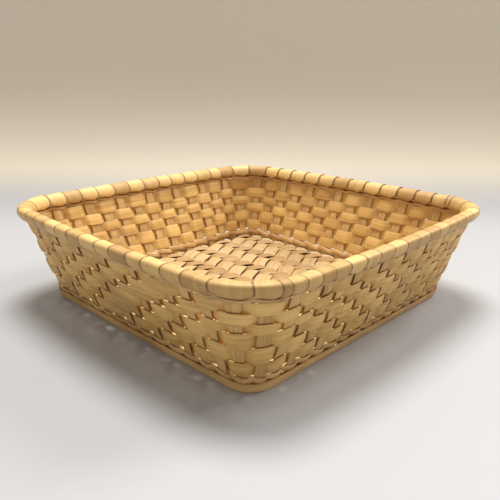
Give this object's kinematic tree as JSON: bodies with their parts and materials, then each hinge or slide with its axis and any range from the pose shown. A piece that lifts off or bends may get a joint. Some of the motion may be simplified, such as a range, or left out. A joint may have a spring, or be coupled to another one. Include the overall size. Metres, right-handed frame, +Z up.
{
  "type": "berry basket",
  "caption": "Square shallow basket of woven wood splints with flared walls, a wrapped rim, a bias-woven bottom and a flat foot band.",
  "frame": {"origin": "middle of the bottom, on the surface that the basket stands on", "axes": "+Z up; X and Y along the walls, with the corner seen nearest in the picture at -X -Y"},
  "size_m": [0.3, 0.3, 0.08],
  "materials": {
    "mat_wood": "bare satin splint",
    "weaver_wood": "bare satin splint",
    "stake_wood": "bare satin splint",
    "twine_wood": "bare satin splint",
    "rim_wood": "bare satin splint",
    "band_wood": "bare satin splint"
  },
  "bodies": {
    "root": {"base_splint_level_1": "mat_wood", "base_splint_level_2": "mat_wood", "base_splint_level_3": "mat_wood", "base_splint_level_4": "mat_wood", "base_splint_level_5": "mat_wood", "base_splint_level_6": "mat_wood", "base_splint_level_7": "mat_wood", "base_splint_level_8": "mat_wood", "base_splint_level_9": "mat_wood", "base_splint_level_10": "mat_wood", "base_splint_level_11": "mat_wood", "base_splint_level_12": "mat_wood", "base_splint_level_13": "mat_wood", "base_splint_level_14": "mat_wood", "base_splint_level_15": "mat_wood", "base_splint_level_16": "mat_wood", "base_splint_level_17": "mat_wood", "base_splint_level_18": "mat_wood", "base_splint_level_19": "mat_wood", "base_splint_level_20": "mat_wood", "base_splint_level_21": "mat_wood", "base_splint_woven_1": "mat_wood", "base_splint_woven_2": "mat_wood", "base_splint_woven_3": "mat_wood", "base_splint_woven_4": "mat_wood", "base_splint_woven_5": "mat_wood", "base_splint_woven_6": "mat_wood", "base_splint_woven_7": "mat_wood", "base_splint_woven_8": "mat_wood", "base_splint_woven_9": "mat_wood", "base_splint_woven_10": "mat_wood", "base_splint_woven_11": "mat_wood", "base_splint_woven_12": "mat_wood", "base_splint_woven_13": "mat_wood", "base_splint_woven_14": "mat_wood", "base_splint_woven_15": "mat_wood", "base_splint_woven_16": "mat_wood", "base_splint_woven_17": "mat_wood", "base_splint_woven_18": "mat_wood", "base_splint_woven_19": "mat_wood", "base_splint_woven_20": "mat_wood", "base_splint_woven_21": "mat_wood", "weaver_row_1": "weaver_wood", "weaver_row_2": "weaver_wood", "weaver_row_3": "weaver_wood", "weaver_row_4": "weaver_wood", "weaver_row_5": "weaver_wood", "weaver_row_6": "weaver_wood", "base_twine_strand_1": "twine_wood", "base_twine_strand_2": "twine_wood", "rim_twine_strand_1": "twine_wood", "rim_twine_strand_2": "twine_wood", "stakes_and_inner_rim_hoop": "stake_wood", "outer_rim_hoop": "rim_wood", "rim_wrap": "rim_wood", "foot_band": "band_wood"}
  },
  "joints": []
}
